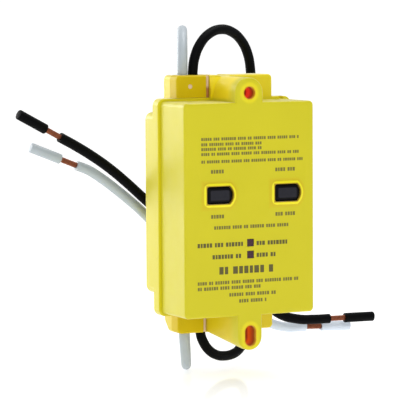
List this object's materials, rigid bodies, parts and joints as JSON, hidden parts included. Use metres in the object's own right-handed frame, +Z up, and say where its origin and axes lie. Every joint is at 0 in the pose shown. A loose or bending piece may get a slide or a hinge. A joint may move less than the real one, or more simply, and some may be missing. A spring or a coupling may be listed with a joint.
{
  "type": "ground fault circuit interrupter module",
  "caption": "Surface-mounted ground fault interrupter module with test and reset buttons, screw ears and wire leads.",
  "frame": {"origin": "middle of the back face that lies on the mounting wall, at mid height of the front cover", "axes": "+X to the right seen from the front, +Y from the front into the wall, +Z up towards the round screw hole"},
  "size_m": [0.1663, 0.0633, 0.1434],
  "materials": {
    "housing_yellow": "satin moulded",
    "sealant": "cured sealant",
    "button_black": "fine texture",
    "plunger_plastic": "natural nylon",
    "spring_steel": "drawn wire",
    "switch_black": "moulded",
    "lens_smoke": "smoked clear",
    "led_clear": "clear lens",
    "board_green": "solder mask",
    "screw_steel": "zinc plated",
    "ferrite_grey": "coated ferrite",
    "coil_copper": "enamelled copper wire",
    "relay_plastic": "moulded phenolic",
    "relay_steel": "soft iron, plated",
    "bobbin_white": "moulded nylon",
    "bus_brass": "stamped copper alloy",
    "contact_silver": "silver faced",
    "package_black": "moulded epoxy",
    "varistor_blue": "dipped epoxy",
    "capacitor_sleeve": "shrink sleeve",
    "resistor_tan": "coated film",
    "lead_black": "extruded jacket",
    "lead_white": "extruded jacket",
    "strand_copper": "stranded bare copper"
  },
  "bodies": {
    "housing": {"front_cover": "housing_yellow", "rear_housing": "housing_yellow", "line_strain_relief": "housing_yellow", "load_strain_relief": "housing_yellow", "sealant_plugs": "sealant", "test_spring": "spring_steel", "test_switch": "switch_black", "reset_spring": "spring_steel", "reset_switch": "switch_black", "light_pipes": "lens_smoke", "indicator_leds": "led_clear", "circuit_board": "board_green", "board_screws": "screw_steel", "toroid_cores": "ferrite_grey", "toroid_windings": "coil_copper", "relay_base": "relay_plastic", "relay_yoke": "relay_steel", "relay_core": "relay_steel", "relay_bobbin": "bobbin_white", "relay_coil": "coil_copper", "return_leaf": "spring_steel", "fixed_contacts": "contact_silver", "line_hot_bus": "bus_brass", "line_neutral_bus": "bus_brass", "load_hot_bus": "bus_brass", "load_neutral_bus": "bus_brass", "crimp_sleeves": "contact_silver", "controller_chip": "package_black", "thyristor": "package_black", "surge_varistor": "varistor_blue", "capacitors": "capacitor_sleeve", "test_resistor": "resistor_tan", "diodes": "package_black", "hot_tails": "lead_black", "neutral_tails": "lead_white", "line_hot_lead": "lead_black", "line_neutral_lead": "lead_white", "load_hot_lead": "lead_black", "load_neutral_lead": "lead_white", "line_hot_core": "strand_copper", "line_neutral_core": "strand_copper", "load_hot_core": "strand_copper", "load_neutral_core": "strand_copper", "line_hot_slug": "lead_black", "line_neutral_slug": "lead_white", "load_hot_slug": "lead_black", "load_neutral_slug": "lead_white"},
    "test_key": {"test_button": "button_black", "test_plunger": "plunger_plastic"},
    "reset_key": {"reset_button": "button_black", "reset_plunger": "plunger_plastic"},
    "armature": {"relay_armature": "relay_steel", "bridge_carrier": "relay_plastic", "contact_bridges": "bus_brass", "moving_contacts": "contact_silver"}
  },
  "joints": [
    {"name": "test_press", "type": "slide", "parent": "housing", "child": "test_key", "axis": [0, 1, 0], "range_m": [0, 0.0015], "stiffness_N_per_m": 300, "deforming": ["test_spring"]},
    {"name": "reset_press", "type": "slide", "parent": "housing", "child": "reset_key", "axis": [0, 1, 0], "range_m": [0, 0.0015], "stiffness_N_per_m": 300, "deforming": ["reset_spring"]},
    {"name": "armature_pull", "type": "hinge", "parent": "housing", "child": "armature", "pos_m": [0.0152, -0.0295, -0.0087], "axis": [1, 0, 0], "range_deg": [0, 6.4], "stiffness_Nm_per_rad": 0.1, "deforming": ["return_leaf"]}
  ]
}
